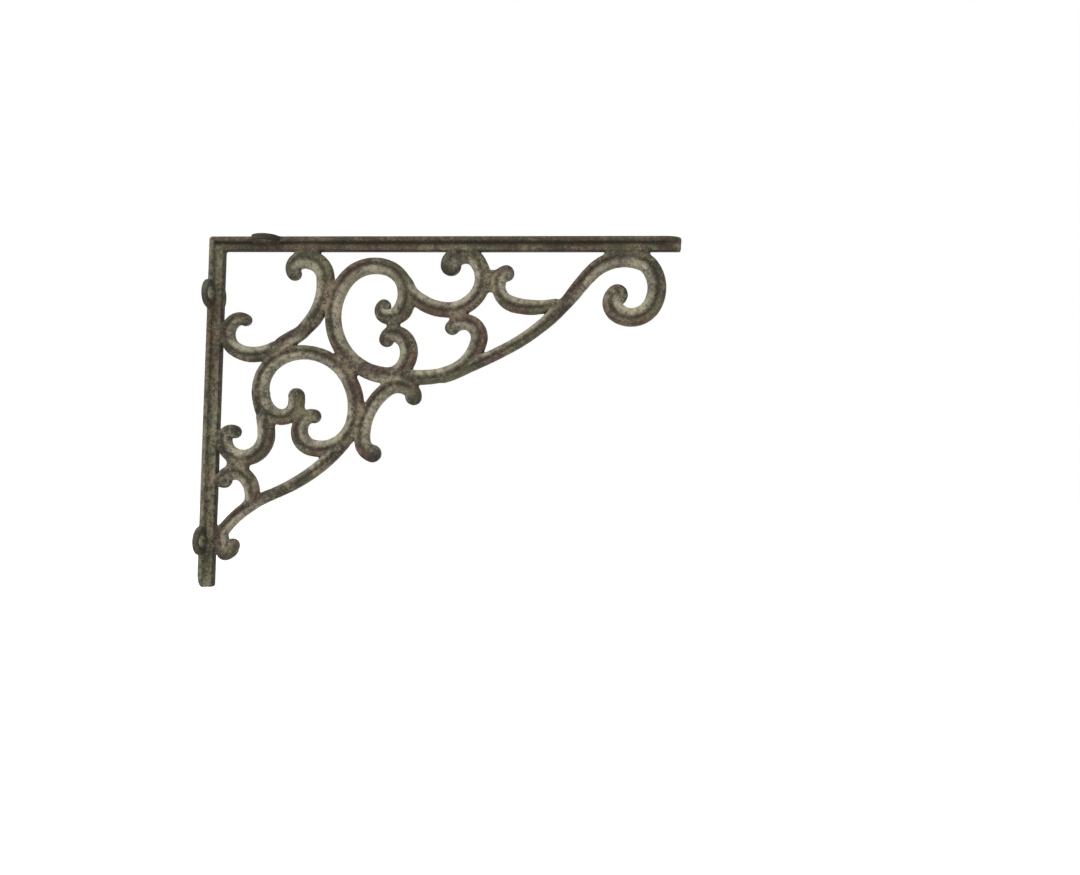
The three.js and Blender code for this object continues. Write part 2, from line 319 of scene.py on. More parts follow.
# Where the flanges are brown, in millimetres from the corner: starts, full, starts to fade, gone
WALL_BROWN = (34, 42, 92, 118)
SHELF_BROWN = (8, 16, 65, 105)


class CastingSizes(bpy.types.PropertyGroup):
    band_thickness: bpy.props.FloatProperty(
        name="Band thickness", description="Through the bracket at the rounded bands of a strand",
        default=8.5 * MM, min=4 * MM, max=12 * MM, unit="LENGTH", subtype="DISTANCE")
    side_thickness: bpy.props.FloatProperty(
        name="Side thickness", description="Through the bracket at the two sides of a strand",
        default=3.4 * MM, min=1 * MM, max=8 * MM, unit="LENGTH", subtype="DISTANCE")
    groove_depth: bpy.props.FloatProperty(
        name="Groove depth", description="Depth of the groove between the two bands of a strand",
        default=1.3 * MM, min=0, max=3 * MM, unit="LENGTH", subtype="DISTANCE")
    groove_width: bpy.props.FloatProperty(
        name="Groove width", description="From the groove's middle to where it is a third of its depth",
        default=1.25 * MM, min=0.2 * MM, max=3 * MM, unit="LENGTH", subtype="DISTANCE")
    fillet: bpy.props.FloatProperty(
        name="Fillet", description="Size of the soft fillet where two strands run together",
        default=1.7 * MM, min=0.1 * MM, max=4 * MM, unit="LENGTH", subtype="DISTANCE")
    roughness: bpy.props.FloatProperty(
        name="Cast unevenness", description="Height of the sand casting's unevenness",
        default=0.12 * MM, min=0, max=0.5 * MM, unit="LENGTH", subtype="DISTANCE")


class PatinaColours(bpy.types.PropertyGroup):
    patina_light: bpy.props.FloatVectorProperty(
        name="Light patina", description="Grey-olive layer on most of the iron", subtype="COLOR", size=3,
        min=0, max=1, default=(0.168, 0.142, 0.084))
    patina_dark: bpy.props.FloatVectorProperty(
        name="Dark patina", description="Deeper olive patches", subtype="COLOR", size=3, min=0, max=1,
        default=(0.028, 0.024, 0.012))
    moss: bpy.props.FloatVectorProperty(
        name="Moss", description="Greener tint in broad patches", subtype="COLOR", size=3, min=0, max=1,
        default=(0.068, 0.07, 0.03))
    lichen: bpy.props.FloatVectorProperty(
        name="Lichen", description="Pale green-grey tint of the wall flange", subtype="COLOR", size=3, min=0,
        max=1, default=(0.136, 0.14, 0.086))
    # Also laid in the countersinks as a painted highlight.
    bloom: bpy.props.FloatVectorProperty(
        name="Bloom", description="Pale grey bloom on the band inside each bend", subtype="COLOR", size=3,
        min=0, max=1, default=(0.285, 0.265, 0.192))
    rust: bpy.props.FloatVectorProperty(
        name="Rust", description="Brown rust patches", subtype="COLOR", size=3, min=0, max=1,
        default=(0.052, 0.026, 0.012))
    plum: bpy.props.FloatVectorProperty(
        name="Plum", description="Purple-brown tint on the rust", subtype="COLOR", size=3, min=0, max=1,
        default=(0.104, 0.068, 0.05))
    # Laid as soiling in the grooves, as painted shade in crevices and on the ears, and as painted shadow where the
    # strands meet the flanges.
    grime_and_shade: bpy.props.FloatVectorProperty(
        name="Grime", description="Brown-black dirt in grooves and crevices", subtype="COLOR", size=3, min=0,
        max=1, default=(0.011, 0.0095, 0.005))
    speck: bpy.props.FloatVectorProperty(
        name="Specks", description="Small pale specks", subtype="COLOR", size=3, min=0, max=1,
        default=(0.33, 0.31, 0.23))


class StageSettings(bpy.types.PropertyGroup):
    floor_colour: bpy.props.FloatVectorProperty(
        name="Floor", description="Colour of the plain floor", subtype="COLOR", size=3, min=0, max=1,
        default=(0.75, 0.75, 0.75))
    floor_drop: bpy.props.FloatProperty(
        name="Floor drop", description="From the foot of the bracket down to the floor",
        default=0.45, min=0, unit="LENGTH", subtype="DISTANCE")
    softbox: bpy.props.FloatProperty(
        name="Soft light", description="Strength of the broad light from above the left shoulder",
        default=3.0, min=0, unit="POWER")


def smooth_least(a, b, k):
    """The smaller of a and b, less k/4 times the square of how nearly equal they are: a fillet of size k."""
    near = np.maximum(k - np.abs(a - b), 0) / k
    return np.minimum(a, b) - near * near * (k / 4)


def smooth_most(a, b, k):
    """The larger of a and b, with the corner between them rounded off over k."""
    return -smooth_least(-a, -b, k)


def arc_chain(start, arcs):
    """The arcs of a strand, each as centre, radius, start angle, sweep and length, end to end and tangent."""
    place = np.array([start[0], -start[1]], float)
    direction = math.radians(start[2])
    chain = []
    for radius, sweep in arcs:
        side = math.copysign(1, sweep)
        angle = direction - side * math.pi / 2
        centre = place - radius * np.array([math.cos(angle), math.sin(angle)])
        turn = math.radians(sweep)
        chain.append((centre, radius, angle, turn, radius * abs(turn)))
        direction += turn
        place = centre + radius * np.array([math.cos(angle + turn), math.sin(angle + turn)])
    return chain


def along_chain(chain, x, z):
    """For each point: its distance to the chain, its place across (left is positive), and the length gone.

    On one arc the nearest point has the point's own angle, held within the sweep; the nearest arc wins.
    """
    best = np.full(x.shape, FAR)
    across = np.zeros(x.shape)
    gone = np.zeros(x.shape)
    before = 0.0
    for centre, radius, angle, turn, length in chain:
        dx, dz = x - centre[0], z - centre[1]
        side = math.copysign(1, turn)
        off = np.arctan2(dz, dx) - angle
        off = (off * side - abs(turn) / 2 + math.pi) % (2 * math.pi) - math.pi + abs(turn) / 2
        held = np.clip(off, 0, abs(turn))
        at = angle + side * held
        near_x, near_z = radius * np.cos(at), radius * np.sin(at)
        distance = np.hypot(dx - near_x, dz - near_z)
        place = side * (radius - (dx * near_x + dz * near_z) / radius)
        closer = distance < best
        best = np.where(closer, distance, best)
        across = np.where(closer, place, across)
        gone = np.where(closer, before + held * radius, gone)
        before += length
    return best, across, gone, before


def strand_places(strand, x, z):
    """For each point: its distance to a strand's middle line, its place across towards the outside of the
    bend, the strand's half width there, and how far it is from the nearer end.

    The outside of the bend is the right of a left turn; it changes sides gradually between arcs.
    """
    start, arcs, widths = strand
    scale = float(STRETCH.mean())
    chain = arc_chain(start, arcs)
    distance, across, gone, total = along_chain(chain, x, z)
    half = np.interp(gone / total, np.linspace(0, 1, len(widths)), widths) / 2
    lengths = np.array([arc[4] for arc in chain])
    middles = np.cumsum(lengths) - lengths / 2
    outside = np.interp(gone, middles, [-math.copysign(1, arc[3]) for arc in chain])
    return distance * scale, across * outside * scale, half * scale, np.minimum(gone, total - gone) * scale


def groove_share(outward, half, to_end, width):
    """The groove's share of its depth: exp(-((s - middle) / width)^2), its middle a little towards the
    outside of the bend, and fading out over the last few millimetres of the strand."""
    fade = np.clip((to_end - GROOVE_STOP) / GROOVE_FADE, 0, 1)
    return np.exp(-(((outward - GROOVE_PLACE * half) / width) ** 2)) * fade


def strand_field(strand, sizes, x, z, across_y):
    """Signed distance to one strand: the larger of the distance past its side and the height over its face,
    the height times the cosine of the face's slope.

    Its face is a rounded bar, side + (band - side) * (1 - |u|^2.6)^0.6 over u from side to side, less the
    groove.
    """
    distance, outward, half, to_end = strand_places(strand, x, z)
    share = np.clip(distance / half, 0, 1)
    band, side = sizes.band_thickness / MM / 2, sizes.side_thickness / MM / 2
    crown = (1 - share ** CROWN_POWER) ** CROWN_ROOT
    groove = sizes.groove_depth / MM * groove_share(outward, half, to_end, sizes.groove_width / MM)
    face = side + (band - side) * crown - groove
    next_crown = (1 - np.clip(share + CROWN_STEP, 0, 1) ** CROWN_POWER) ** CROWN_ROOT
    slope = (band - side) * (crown - next_crown) / (CROWN_STEP * half)
    lean = 1 / np.sqrt(1 + slope * slope)
    over = (across_y[None, :, None] - face[:, None, :]) * lean[:, None, :]
    past = (distance - half)[:, None, :]
    return smooth_most(past, over, STRAND_EDGE)


def rounded_box(along, across, length, half, corner):
    """Signed distance to a strip from 0 to length, half each side, its far corners rounded."""
    past_end = along - (length - corner)
    past_side = across - (half - corner)
    outside = np.hypot(np.maximum(past_end, 0), np.maximum(past_side, 0))
    inside = np.minimum(np.maximum(past_end, past_side), 0)
    return outside + inside - corner


def flange_field(along, depth, across, length):
    """Signed distance to one flange: a strap that ends in half an oval, and a rib that stands on its middle.

    The strap's outline is half * (hypot(past / tip, across / half) - 1), where past is how far along the
    oval the point is. Each part is the larger of its distances past its faces, with the edges between them
    rounded.
    """
    half = FLANGE_WIDTH / 2
    past = np.maximum(along - (length - FLANGE_TIP), 0)
    outline = half * (np.hypot(past / FLANGE_TIP, across / half) - 1)
    faces = smooth_most(-depth, depth - FLANGE_THICKNESS, STRAP_FACE_EDGE)
    strap = smooth_most(faces, outline, STRAP_SIDE_EDGE)
    profile = rounded_box(along, depth, length - RIB_STOP, RIB_TOP, RIB_END_ROUND)
    standing = np.maximum(profile, FLANGE_THICKNESS / 2 - depth)
    rib = smooth_most(standing, across - RIB_THICKNESS / 2, RIB_EDGE)
    return np.maximum(smooth_least(strap, rib, RIB_FILLET), along - length + TIP_INSET)


def ear_field(along, depth, across, centre):
    """Signed distance to a round ear: the larger of the distances past its rim and past its two faces."""
    radial = np.hypot(along - centre, across - FLANGE_WIDTH / 2)
    faces = np.maximum(-depth, depth - EAR_THICKNESS)
    return smooth_most(radial - (EAR_RADIUS - EAR_INSET), faces, EAR_EDGE)


def screw_field(along, depth, across, centre):
    """Signed distance to a screw hole: a bore, then a cone at 45 degrees up to the head, then straight on.

    The distance from the hole's wall is measured level, and cut to 0.8 of it for the slope of the cone.
    """
    radial = np.hypot(along - centre, across - SCREW_LINE)
    hole, head = SCREW_HOLE / 2, SCREW_HEAD / 2
    rim = EAR_THICKNESS - HEAD_EDGE
    wide = np.clip(hole + depth - (rim - (head - hole)), hole, head)
    return (radial - wide) * 0.8


def nearest_on(chain, x, z):
    """The point on a chain that is nearest to a point, taken from the arc with the least distance."""
    best = None
    for centre, radius, angle, turn, _ in chain:
        side = math.copysign(1, turn)
        off = math.atan2(z - centre[1], x - centre[0]) - angle
        off = (off * side - abs(turn) / 2 + math.pi) % (2 * math.pi) - math.pi + abs(turn) / 2
        at = angle + side * min(max(off, 0), abs(turn))
        point = centre + radius * np.array([math.cos(at), math.sin(at)])
        gap = math.hypot(x - point[0], z - point[1])
        if best is None or gap < best[0]:
            best = (gap, point)
    return best[1]


def web_list():
    """The webs as start point, end point and length, in millimetres from the shelf face and the wall face."""
    chains = {name: arc_chain(start, arcs) for name, (start, arcs, _) in STRANDS.items()}
    webs = []
    for first, second, out, down, length in STRAND_WEBS:
        ends = [OPENING + nearest_on(chains[name], out, -down) * STRETCH for name in (first, second)]
        webs.append((*ends, length))
    for name, flange, along, length in FLANGE_WEBS:
        wall = flange == "wall"
        point = OPENING + nearest_on(chains[name], *((0, -along) if wall else (along, 0))) * STRETCH
        foot = np.array([FLANGE_THICKNESS, point[1]]) if wall else np.array([point[0], -FLANGE_THICKNESS])
        webs.append((foot, point, length))
    return webs


def web_field(web, x, z, across_y):
    """Signed distance to a flat plate between two points, with rounded sides."""
    start, end, length = web
    span = end - start
    reach = float(np.hypot(*span))
    direction = span / reach
    dx, dz = x - start[0], z - start[1]
    along = dx * direction[0] + dz * direction[1]
    aside = np.abs(dz * direction[0] - dx * direction[1])
    plan = np.maximum(np.abs(along - reach / 2) - reach / 2, aside - length / 2)
    return smooth_most(plan[:, None, :], across_y[None, :, None] - WEB_THICKNESS / 2, WEB_EDGE)


def grid_lines():
    """Three rows of grid places: out from the wall, across from the middle plane to one side, and up."""
    x = np.arange(-MARGIN, REACH + MARGIN, CELL)
    y = np.arange(0, HIGH.y / MM + MARGIN, CELL_ACROSS)
    z = np.arange(-DROP - MARGIN, MARGIN, CELL)
    return x, y, z


def merge(field, part, region, k):
    """Joins a part into its region of the whole field, with a fillet of size k."""
    field[region] = smooth_least(field[region], part, k)


def window(values, low, high):
    """The slice of a sorted row of places that lies between low and high."""
    return slice(*np.searchsorted(values, (low, high)))


def casting_field(sizes):
    """Signed distance to half of the casting, in millimetres: below zero inside the iron."""
    x, y, z = grid_lines()
    field = np.full((len(x), len(y), len(z)), FAR, np.float32)
    fillet = sizes.fillet / MM
    thin = window(y, 0, sizes.band_thickness / MM / 2 + DEPTH_REACH)
    for strand in STRANDS.values():
        path = np.array([
            centre + radius * np.array([math.cos(angle + turn * t), math.sin(angle + turn * t)])
            for centre, radius, angle, turn, _ in arc_chain(*strand[:2]) for t in np.linspace(0, 1, 9)
        ]) * STRETCH + OPENING
        low, high = path.min(0) - STRAND_REACH, path.max(0) + STRAND_REACH
        region = (window(x, low[0], high[0]), thin, window(z, low[1], high[1]))
        gx, gz = np.meshgrid(x[region[0]], z[region[2]], indexing="ij")
        drawn_x, drawn_z = (gx - OPENING[0]) / STRETCH[0], (gz - OPENING[1]) / STRETCH[1]
        merge(field, strand_field(strand, sizes, drawn_x, drawn_z, y[thin]), region, fillet)
    for web in web_list():
        reach = web[2] + STRAND_REACH
        middle = (web[0] + web[1]) / 2
        region = (window(x, middle[0] - reach, middle[0] + reach), thin,
                  window(z, middle[1] - reach, middle[1] + reach))
        gx, gz = np.meshgrid(x[region[0]], z[region[2]], indexing="ij")
        merge(field, web_field(web, gx, gz, y[thin]), region, fillet)
    deep = RIB_TOP + FLANGE_REACH
    everywhere = slice(None)
    near_wall = (window(x, -MARGIN, deep), everywhere, everywhere)
    near_shelf = (everywhere, everywhere, window(z, -deep, MARGIN))
    across = y[None, :, None]
    wall_along, wall_depth = -z[None, None, :], x[near_wall[0]][:, None, None]
    shelf_along, shelf_depth = x[:, None, None], -z[near_shelf[2]][None, None, :]
    wall_flange = flange_field(wall_along, wall_depth, across, DROP)
    merge(field, wall_flange, near_wall, FLANGE_FILLET)
    shelf_flange = flange_field(shelf_along, shelf_depth, across, REACH)
    merge(field, shelf_flange, near_shelf, FLANGE_FILLET)
    screws = [
        (wall_along, wall_depth, near_wall, UPPER_SCREW_DROP),
        (wall_along, wall_depth, near_wall, DROP - LOWER_SCREW_RISE),
        (shelf_along, shelf_depth, near_shelf, SHELF_SCREW_REACH),
    ]
    for along, depth, region, centre in screws:
        merge(field, ear_field(along, depth, across, centre), region, EAR_FILLET)
    for along, depth, region, centre in screws:
        field[region] = smooth_most(field[region], -screw_field(along, depth, across, centre), HOLE_EDGE)
    outer = smooth_most(-x[:, None, None], z[None, None, :], 2 * OUTER_ROUND)
    return np.maximum(field, outer).astype(np.float32)


def blurred(volume, cells, rounds):
    """The volume averaged over a cube of 2 * cells + 1 places, several times, by running sums."""
    for _ in range(rounds):
        for axis in range(3):
            pad = [(0, 0)] * 3
            pad[axis] = (cells + 1, cells)
            total = np.cumsum(np.pad(volume, pad, mode="edge"), axis=axis, dtype=np.float32)
            count = volume.shape[axis]
            width = 2 * cells + 1
            ahead = np.take(total, range(width, width + count), axis=axis)
            behind = np.take(total, range(count), axis=axis)
            volume = (ahead - behind) / width
    return volume


CORNERS = np.array([(i, j, k) for i in (0, 1) for j in (0, 1) for k in (0, 1)])
CUBE_EDGES = [(a, b) for a in range(8) for b in range(a + 1, 8) if np.abs(CORNERS[a] - CORNERS[b]).sum() == 1]


def skin(field):
    """Surface nets: in each cell that the surface crosses, one vertex at the mean of its edge crossings, and
    for each grid edge that the surface crosses, one four-sided face between the cells around it."""
    inside = field < 0
    shape = np.array(field.shape) - 1
    count = np.zeros(shape, np.int8)
    for i, j, k in CORNERS:
        count += inside[i:i + shape[0], j:j + shape[1], k:k + shape[2]]
    active = (count > 0) & (count < 8)
    cells = np.argwhere(active)
    number = np.full(active.shape, -1, np.int32)
    number[active] = np.arange(len(cells))
    values = np.stack([field[tuple((cells + corner).T)] for corner in CORNERS], 1)
    total = np.zeros((len(cells), 3))
    hits = np.zeros(len(cells))
    for a, b in CUBE_EDGES:
        va, vb = values[:, a], values[:, b]
        crossed = (va < 0) != (vb < 0)
        t = va / np.where(crossed, va - vb, 1)
        place = CORNERS[a] + t[:, None] * (CORNERS[b] - CORNERS[a])
        total += np.where(crossed[:, None], place, 0)
        hits += crossed
    points = cells + total / hits[:, None]
    faces = []
    for axis in range(3):
        b, c = (axis + 1) % 3, (axis + 2) % 3
        near, far = [slice(1, -1)] * 3, [slice(1, -1)] * 3
        near[axis], far[axis] = slice(0, -1), slice(1, None)
        start, end = inside[tuple(near)], inside[tuple(far)]
        node = np.argwhere(start != end)
        outward = start[start != end]
        node[:, b] += 1
        node[:, c] += 1
        step_b, step_c = np.eye(3, dtype=int)[b], np.eye(3, dtype=int)[c]
        ring = [number[tuple(at.T)] for at in (node - step_b - step_c, node - step_c, node, node - step_b)]
        quads = np.stack(ring, 1)
        quads[~outward] = quads[~outward][:, ::-1]
        faces.append(quads)
    return points, np.concatenate(faces)


def mesh_from(name, points, quads):
    """A mesh from whole arrays of points and four-sided faces."""
    mesh = bpy.data.meshes.new(name)
    mesh.vertices.add(len(points))
    mesh.vertices.foreach_set("co", points.astype(np.float32).ravel())
    mesh.loops.add(quads.size)
    mesh.loops.foreach_set("vertex_index", quads.astype(np.int32).ravel())
    mesh.polygons.add(len(quads))
    mesh.polygons.foreach_set("loop_start", np.arange(0, quads.size, 4, dtype=np.int32))
    mesh.update(calc_edges=True)
    return mesh


def thinned(obj, limit):
    """Brings the mesh under a number of triangles, keeping its bends, and leaves no modifier on it."""
    triangles = 2 * len(obj.data.polygons)
    if triangles > limit:
        reduce = obj.modifiers.new("thin", "DECIMATE")
        reduce.ratio = limit / triangles
        depsgraph = bpy.context.evaluated_depsgraph_get()
        old = obj.data
        obj.data = bpy.data.meshes.new_from_object(obj.evaluated_get(depsgraph))
        obj.modifiers.clear()
        bpy.data.meshes.remove(old)


def sampled(volume, origin, cell, points):
    """The volume's value at each point, by the shares of the eight grid places around it."""
    at = (points - origin) / cell
    base = np.clip(np.floor(at).astype(int), 0, np.array(volume.shape) - 2)
    part = at - base
    value = np.zeros(len(points))
    for corner in CORNERS:
        weight = np.prod(np.where(corner, part, 1 - part), 1)
        value += weight * volume[tuple((base + corner).T)]
    return value


def noise(points, size, seed):
    """Smooth noise from -1 to 1: random numbers on a lattice of the given size, blended by a smoothstep."""
    random = np.random.default_rng(seed)
    lattice = random.uniform(-1, 1, (LATTICE, LATTICE, LATTICE))
    at = points / size
    base = np.floor(at).astype(int)
    part = at - base
    part = part * part * (3 - 2 * part)
    value = np.zeros(len(points))
    for corner in CORNERS:
        weight = np.prod(np.where(corner, part, 1 - part), 1)
        value += weight * lattice[tuple(((base + corner) % LATTICE).T)]
    return value


def coordinates(mesh):
    """The mesh's vertices as an array."""
    flat = np.empty(len(mesh.vertices) * 3, np.float32)
    mesh.vertices.foreach_get("co", flat)
    return flat.reshape(-1, 3)


def roughen(mesh, height):
    """Moves each vertex along its normal by three layers of noise, which fade out at the sides of the solid's
    box."""
    points = coordinates(mesh) / MM
    normals = np.empty(len(mesh.vertices) * 3, np.float32)
    mesh.vertex_normals.foreach_get("vector", normals)
    normals = normals.reshape(-1, 3)
    bumps = sum(share * noise(points, size, seed) for share, size, seed in ROUGH_LAYERS)
    to_wall = points[:, 0]
    to_shelf = SHELF_Z - points[:, 2]
    free = np.clip(np.minimum(to_wall, to_shelf) / ROUGH_FADE, 0, 1)
    free *= np.clip((HIGH.y / MM - np.abs(points[:, 1])) / ROUGH_FADE, 0, 1)
    free *= np.clip((REACH - to_wall) / ROUGH_FADE, 0, 1) * np.clip((DROP - to_shelf) / ROUGH_FADE, 0, 1)
    moved = points + normals * (height / MM * bumps * free)[:, None]
    mesh.vertices.foreach_set("co", (moved * MM).astype(np.float32).ravel())
    mesh.update()


def set_attribute(mesh, name, values):
    """Writes one number for each vertex."""
    layer = mesh.attributes.new(name, "FLOAT", "POINT")
    layer.data.foreach_set("value", values.astype(np.float32))


class NodeBook:
    """Adds and links the nodes of one material."""

    def __init__(self, material):
        material.use_nodes = True
        self.tree = material.node_tree
        self.tree.nodes.clear()

    def add(self, kind, values=None, **settings):
        """A node with its settings, and its inputs set from numbers or linked from other nodes' outputs."""
        node = self.tree.nodes.new(kind)
        for key, value in settings.items():
            setattr(node, key, value)
        for key, value in (values or {}).items():
            self.feed(node.inputs[key], value)
        return node

    def feed(self, socket, value):
        """Links a socket if the value is an output, and sets it otherwise."""
        if isinstance(value, bpy.types.NodeSocket):
            self.tree.links.new(value, socket)
        else:
            socket.default_value = value

    def noise(self, place, scale, detail, rough, distortion=0.0):
        """A noise texture's value, at a scale in lumps to the metre."""
        node = self.add("ShaderNodeTexNoise", {"Vector": place, "Scale": scale, "Detail": detail,
                                               "Roughness": rough, "Distortion": distortion})
        return node.outputs["Fac"]

    def ramp(self, value, low, high):
        """A smooth step from 0 at low to 1 at high."""
        node = self.add("ShaderNodeMapRange", {"Value": value, "From Min": low, "From Max": high},
                        interpolation_type="SMOOTHSTEP")
        return node.outputs["Result"]

    def math(self, operation, a, b=0.0):
        """One operation on two numbers, its result held between 0 and 1."""
        node = self.add("ShaderNodeMath", operation=operation, use_clamp=True)
        self.feed(node.inputs[0], a)
        self.feed(node.inputs[1], b)
        return node.outputs[0]

    def mix(self, share, a, b):
        """A blend of two colours."""
        node = self.add("ShaderNodeMix", data_type="RGBA")
        self.feed(node.inputs["Factor"], share)
        self.feed(node.inputs[6], a)
        self.feed(node.inputs[7], b)
        return node.outputs[2]

    def attribute(self, name):
        """A number that the mesh carries."""
        return self.add("ShaderNodeAttribute", attribute_name=name).outputs["Fac"]


def colour(values):
    """Three numbers as a colour with full alpha."""
    return (*values, 1.0)


def patina_layers(book, colours, place, cloud, mottle, grit):
    """The colour all over: light over dark patina by a sum of three noises, moss in broad patches, and rust
    in patches and where the flanges are brown, with less of it on the inner bands."""
    tone = book.math("ADD", book.math("MULTIPLY", cloud, 0.42), book.math("MULTIPLY", mottle, 0.33))
    tone = book.math("ADD", tone, book.math("MULTIPLY", grit, 0.25))
    base = book.mix(book.ramp(tone, 0.44, 0.6), colour(colours.patina_dark), colour(colours.patina_light))
    moss = book.math("MULTIPLY", book.ramp(book.noise(place, 26.0, 3.0, 0.5, 0.3), 0.49, 0.62), 0.55)
    base = book.mix(moss, base, colour(colours.moss))
    browned = book.math("MULTIPLY", book.attribute("brown"), book.ramp(cloud, 0.36, 0.56))
    patches = book.ramp(book.noise(place, 36.0, 7.0, 0.62, 0.9), 0.485, 0.57)
    patches = book.math("MAXIMUM", patches, browned)
    tint = book.mix(book.ramp(mottle, 0.42, 0.62), colour(colours.rust), colour(colours.plum))
    spared = book.math("MULTIPLY", book.attribute("inner"), 0.5)
    return book.mix(book.math("MULTIPLY", patches, book.math("SUBTRACT", 0.9, spared)), base, tint)


def form_tints(book, colours, base, cloud, mottle):
    """The tints that follow the casting's form: lichen on the wall flange, dark patina on the shelf flange,
    light patina on the webs, and bloom on the inner bands, less of it in the painted shadow where they meet the
    flanges."""
    flange = book.attribute("flange")
    weathered = book.math("MULTIPLY", book.ramp(flange, 0.0, 1.0), book.ramp(mottle, 0.38, 0.6))
    base = book.mix(book.math("MULTIPLY", weathered, 0.6), base, colour(colours.lichen))
    sooty = book.math("MULTIPLY", book.ramp(flange, 0.0, -0.9), book.ramp(mottle, 0.7, 0.45))
    base = book.mix(book.math("MULTIPLY", sooty, 0.85), base, colour(colours.patina_dark))
    filled = book.math("MULTIPLY", book.attribute("web"), book.ramp(mottle, 0.38, 0.6))
    base = book.mix(book.math("MULTIPLY", filled, 0.75), base, colour(colours.patina_light))
    shed = book.math("ADD", book.math("MULTIPLY", book.ramp(cloud, 0.34, 0.6), 0.55), 0.45)
    bloom = book.math("MULTIPLY", book.ramp(mottle, 0.3, 0.58), shed)
    bloom = book.math("MULTIPLY", book.attribute("inner"), bloom)
    # Less bloom in the painted shadow where the strands meet the flanges.
    bloom = book.math("MULTIPLY", bloom, book.ramp(book.attribute("contact_shadow"), 0.75, 0.05))
    return book.mix(book.math("MULTIPLY", bloom, 0.68), base, colour(colours.bloom))


def grit_specks(book, colours, base, grit):
    """Small pale specks at the grit's peaks, and small dark flecks in its hollows."""
    specks = book.math("MULTIPLY", book.ramp(grit, 0.58, 0.7), 0.42)
    flecks = book.math("MULTIPLY", book.ramp(grit, 0.42, 0.3), 0.6)
    return book.mix(flecks, book.mix(specks, base, colour(colours.speck)), colour(colours.grime_and_shade))


def grime_and_shade_share(book, mottle):
    """How soiled or shaded a place is painted: soiled and in painted shade in crevices by how much iron is round it,
    soiled in the grooves and at the strands' ends, in painted shadow where they meet the flanges, and in painted
    shade on the flat of the ears, but not in the countersinks."""
    socket = book.attribute("socket")
    # Painted shade as well as soiling: the more iron round a point, the darker it is painted.
    soiling_and_shade = book.math("MULTIPLY", book.math("SUBTRACT", mottle, 0.5), 0.25)
    soiling_and_shade = book.math("ADD", book.attribute("hollow_soiling_and_shade"), soiling_and_shade)
    less_dark_on_wall_flange = book.math("MULTIPLY", book.ramp(book.attribute("flange"), 0.0, 0.3), 0.09)
    grimy_and_shaded = book.ramp(book.math("SUBTRACT", soiling_and_shade, less_dark_on_wall_flange), 0.52, 0.66)
    # The third line paints shadow where the strands run into the ribs.
    lines = (("groove", 0.78, 0.42, 0.85), ("tip", 0.75, 0.4, 0.85), ("contact_shadow", 0.8, 0.38, 0.9))
    for name, low, high, most in lines:
        lined = book.math("MULTIPLY", book.attribute(name), book.ramp(mottle, low, high))
        grimy_and_shaded = book.math("MAXIMUM", grimy_and_shaded, book.math("MULTIPLY", lined, most))
    # Painted shade on the flat and rim of the ears.
    grimy_and_shaded = book.math("MAXIMUM", grimy_and_shaded, book.math("MULTIPLY", book.ramp(socket, -0.1, -0.9), 0.75))
    return book.math("MULTIPLY", grimy_and_shaded, book.ramp(socket, 0.9, 0.1))


def weathered_iron(colours):
    """Matt antiqued cast iron: patina and rust, tints that follow the form, specks, soiling with painted shade and
    shadow, a pale painted highlight in the countersinks, and fine pits."""
    material = bpy.data.materials.new("weathered_iron")
    book = NodeBook(material)
    place = book.add("ShaderNodeTexCoord").outputs["Object"]
    cloud = book.noise(place, 62.0, 4.0, 0.6, 0.5)
    mottle = book.noise(place, 400.0, 5.0, 0.75)
    grit = book.noise(place, 1000.0, 3.0, 0.75)
    base = patina_layers(book, colours, place, cloud, mottle, grit)
    base = form_tints(book, colours, base, cloud, mottle)
    base = grit_specks(book, colours, base, grit)
    # Soiling and painted shade.
    base = book.mix(book.math("MULTIPLY", grime_and_shade_share(book, mottle), 0.92), base, colour(colours.grime_and_shade))
    # A painted highlight in the countersinks, in the bloom colour.
    countersink_highlight = book.math("MULTIPLY", book.ramp(book.attribute("socket"), 0.7, 1.0), 0.5)
    base = book.mix(countersink_highlight, base, colour(colours.bloom))
    pits = book.noise(place, 600.0, 4.0, 0.6)
    relief = book.math("ADD", book.math("MULTIPLY", pits, 0.7), book.math("MULTIPLY", grit, 0.3))
    bump = book.add("ShaderNodeBump", {"Height": relief, "Strength": 0.7, "Distance": 0.0007})
    rough = book.add("ShaderNodeMapRange", {"Value": mottle, "To Min": 0.66, "To Max": 0.92})
    shader = book.add("ShaderNodeBsdfPrincipled", {
        "Base Color": base, "Metallic": 0.15, "Roughness": rough.outputs["Result"],
        "Specular IOR Level": 0.35, "Normal": bump.outputs["Normal"],
    })
    output = book.add("ShaderNodeOutputMaterial")
    book.feed(output.inputs["Surface"], shader.outputs["BSDF"])
    return material


def plain(name, shade):
    """A matt material of one colour, for the stage."""
    material = bpy.data.materials.new(name)
    material.use_nodes = True
    shader = material.node_tree.nodes["Principled BSDF"]
    shader.inputs["Base Color"].default_value = colour(shade)
    shader.inputs["Roughness"].default_value = 0.9
    return material


